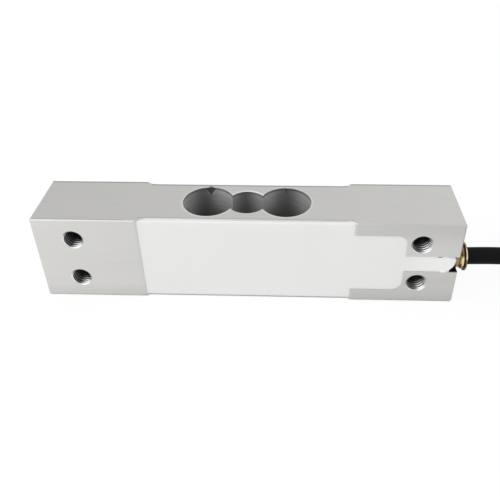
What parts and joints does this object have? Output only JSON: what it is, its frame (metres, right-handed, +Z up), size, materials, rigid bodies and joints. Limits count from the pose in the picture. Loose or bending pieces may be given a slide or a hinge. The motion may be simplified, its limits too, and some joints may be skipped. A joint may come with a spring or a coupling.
{
  "type": "single point load cell",
  "caption": "Single point load cell: waisted aluminium beam with a double-eye cut-out, silicone sealed strain gauges, tapped ends and a shielded signal cable.",
  "frame": {"origin": "under the middle of the beam, on the surface that it lies on", "axes": "+X along the beam towards the cable, +Y through the thickness from the front gauge face to the rear one, +Z up the width"},
  "size_m": [0.2554, 0.0438, 0.03],
  "materials": {
    "aluminium": "fine milled, clear anodised matt",
    "silicone": "white room-temperature-cured silicone, smooth and matt",
    "gauge_foil": "amber polyimide film with a foil grid",
    "lead_ribbon": "flat enamelled wire ribbon",
    "board": "glass epoxy laminate with solder mask",
    "chip": "dark glazed top",
    "ferrule_brass": "turned, slightly tarnished",
    "cable_jacket": "black satin extruded jacket",
    "tie_nylon": "natural nylon",
    "core_red": "extruded insulation",
    "core_black": "extruded insulation",
    "core_green": "extruded insulation",
    "core_white": "extruded insulation",
    "core_shield": "bare tinned copper strands"
  },
  "bodies": {
    "root": {"spring_body": "aluminium", "front_sealant": "silicone", "rear_sealant": "silicone", "terminal_board": "board", "zero_resistor": "chip", "span_resistor": "chip", "cable_ferrule": "ferrule_brass", "cable_lead_out": "cable_jacket", "cable_hank": "cable_jacket", "cable_tail": "cable_jacket", "hank_tie": "tie_nylon", "strain_gauge_front_left": "gauge_foil", "gauge_lead_front_left": "lead_ribbon", "strain_gauge_front_right": "gauge_foil", "gauge_lead_front_right": "lead_ribbon", "strain_gauge_rear_left": "gauge_foil", "gauge_lead_rear_left": "lead_ribbon", "strain_gauge_rear_right": "gauge_foil", "gauge_lead_rear_right": "lead_ribbon", "core_inner_red": "core_red", "core_inner_black": "core_black", "core_inner_green": "core_green", "core_inner_white": "core_white", "core_inner_shield": "core_shield", "core_far_red": "core_red", "core_far_black": "core_black", "core_far_green": "core_green", "core_far_white": "core_white", "core_far_shield": "core_shield"}
  },
  "joints": []
}
